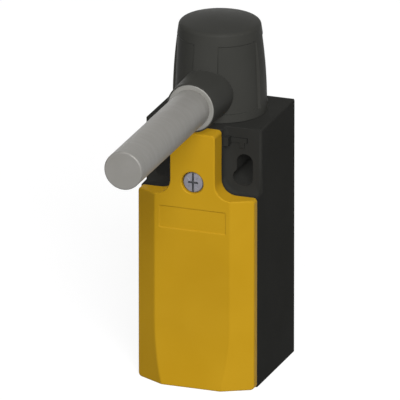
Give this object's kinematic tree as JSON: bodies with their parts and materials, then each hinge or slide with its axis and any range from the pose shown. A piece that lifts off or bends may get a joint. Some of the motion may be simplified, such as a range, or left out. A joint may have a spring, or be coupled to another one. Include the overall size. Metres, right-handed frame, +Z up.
{
  "type": "position switch",
  "caption": "Safety position switch with a turning shaft: black moulded body, yellow front cover and a round head that turns on the body.",
  "frame": {"origin": "midway between the two fixing holes, on the rear mounting face", "axes": "+Z up along the body to the head, +Y out of the rear mounting face, +X to the right seen from the front; the shaft points to -Y"},
  "size_m": [0.031, 0.0835, 0.092],
  "materials": {
    "black_plastic": "fine moulded texture",
    "yellow_plastic": "smooth moulded",
    "steel": "ground",
    "bush_metal": "satin",
    "zinc": "zinc plated",
    "cam_metal": "die cast",
    "brass": "stamped",
    "rubber": "moulded",
    "inner_plastic": "smooth",
    "block_plastic": "smooth"
  },
  "bodies": {
    "body": {"housing": "black_plastic", "cover": "yellow_plastic", "cover_gasket": "rubber", "cover_screw": "zinc", "screw_washer": "rubber", "turret_seal": "rubber", "contact_base": "block_plastic", "contact_front": "block_plastic", "plunger_seal": "rubber", "fixed_contacts_nc": "brass", "fixed_contacts_no": "brass", "terminal_screws": "zinc", "terminal_clamps": "zinc", "contact_spring": "steel"},
    "head": {"turret": "black_plastic", "turret_base_plate": "inner_plastic", "front_bush": "bush_metal", "shaft_seal": "rubber", "rear_bush": "bush_metal", "head_spring": "steel"},
    "turning_shaft": {"shaft": "steel", "cam": "cam_metal", "cam_pin": "steel", "retaining_ring": "steel"},
    "plunger": {"head_plunger": "inner_plastic"},
    "contact_slider": {"contact_plunger": "inner_plastic", "bridge_nc": "brass", "bridge_no": "brass"},
    "lock_slide": {"head_lock_slide": "black_plastic"}
  },
  "joints": [
    {"name": "head_turn", "type": "hinge", "parent": "body", "child": "head", "pos_m": [0, -0.013, 0.0132], "axis": [0, 0, 1], "range_deg": [-180, 180]},
    {"name": "shaft_turn", "type": "hinge", "parent": "head", "child": "turning_shaft", "pos_m": [0, -0.04, 0.0203], "axis": [0, 1, 0], "range_deg": [0, 90], "stiffness_Nm_per_rad": 0.015, "springref_deg": -76.2},
    {"name": "plunger_slide", "type": "slide", "parent": "head", "child": "plunger", "axis": [0, 0, -1], "range_m": [0, 0.0033], "deforming": ["head_spring"]},
    {"name": "contact_slide", "type": "slide", "parent": "body", "child": "contact_slider", "axis": [0, 0, -1], "range_m": [0, 0.0033], "deforming": ["contact_spring"]},
    {"name": "lock_pull", "type": "slide", "parent": "body", "child": "lock_slide", "axis": [0, -1, 0], "range_m": [0, 0.006]}
  ],
  "couplings": [
    {"joint": "plunger_slide", "follows": "shaft_turn", "m_per_rad": 0.0020372},
    {"joint": "contact_slide", "follows": "shaft_turn", "m_per_rad": 0.0020372}
  ]
}
